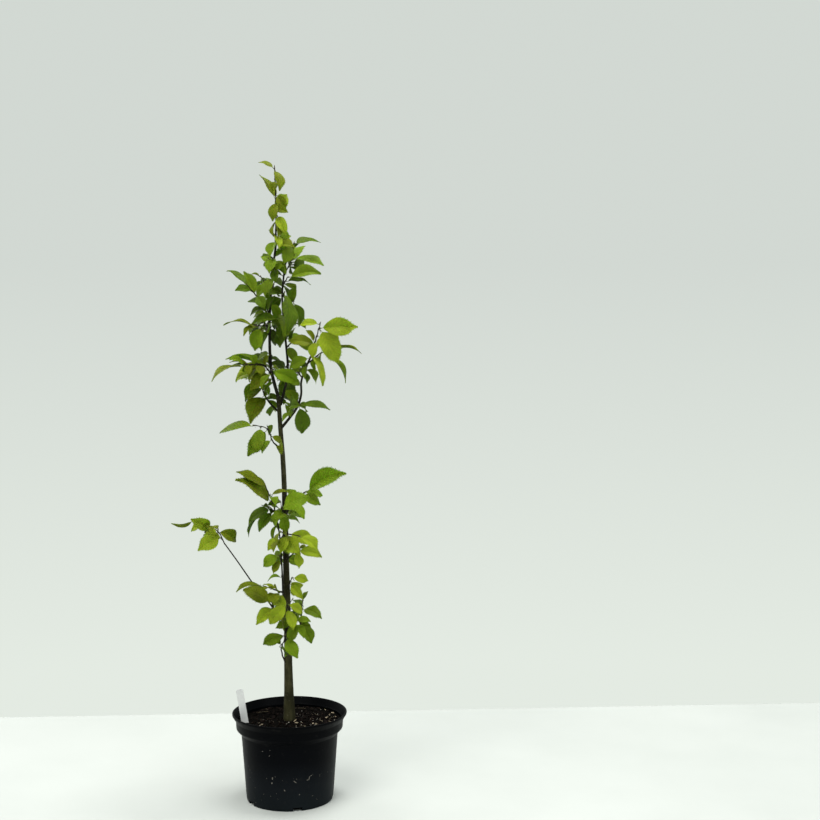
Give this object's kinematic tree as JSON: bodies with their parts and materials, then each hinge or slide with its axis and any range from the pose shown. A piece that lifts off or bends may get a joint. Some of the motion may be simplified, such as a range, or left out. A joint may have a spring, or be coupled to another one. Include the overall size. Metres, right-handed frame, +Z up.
{
  "type": "potted european hornbeam",
  "caption": "Young european hornbeam with a slim forked trunk and short leafy side shoots, in a round plastic nursery pot of soil with a blank plant label.",
  "frame": {"origin": "middle of the pot's flat underside, on the floor", "axes": "+Z up along the trunk, +X to the right and -Y towards the viewer of the front view"},
  "size_m": [0.3164, 0.2267, 1.0419],
  "materials": {
    "pot": "matte black moulded plastic, a little dusty",
    "soil": "dark brown potting soil with bits of bark",
    "label": "blank white plastic tag",
    "bark": "smooth grey-brown bark with pale lenticels",
    "leaf": "living leaves, mid to yellow green, satin"
  },
  "bodies": {
    "root": {"pot": "pot", "soil": "soil", "label": "label", "trunk": "bark", "leader": "bark", "second_stem": "bark", "right_bough": "bark", "left_bough": "bark", "long_shoot": "bark", "side_shoot": "bark", "bough_far": "leaf", "leader_far_high": "leaf", "leader_far_low": "leaf", "leader_far_mid": "leaf", "leader_front": "leaf", "leader_left_cluster": "leaf", "leader_left_high": "leaf", "leader_left_low": "leaf", "leader_left_mid": "leaf", "leader_left_top": "leaf", "leader_spur": "leaf", "leader_tip": "leaf", "left_bough_tip": "leaf", "long_shoot_left": "leaf", "long_shoot_low": "leaf", "long_shoot_mid": "leaf", "long_shoot_tip": "leaf", "right_bough_inner": "leaf", "right_bough_low": "leaf", "right_bough_side": "leaf", "right_bough_tip": "leaf", "second_base": "leaf", "second_far": "leaf", "second_front": "leaf", "second_high": "leaf", "second_left": "leaf", "second_low": "leaf", "second_right": "leaf", "second_spur": "leaf", "second_tip": "leaf", "side_shoot_low": "leaf", "side_shoot_tip": "leaf", "trunk_base_front": "leaf", "trunk_far_base": "leaf", "trunk_far_high": "leaf", "trunk_far_low": "leaf", "trunk_far_mid": "leaf", "trunk_front": "leaf", "trunk_front_base": "leaf", "trunk_front_low": "leaf", "trunk_left": "leaf", "trunk_lowest": "leaf", "trunk_right": "leaf", "trunk_right_base": "leaf", "trunk_right_low": "leaf", "trunk_right_mid": "leaf"}
  },
  "joints": []
}
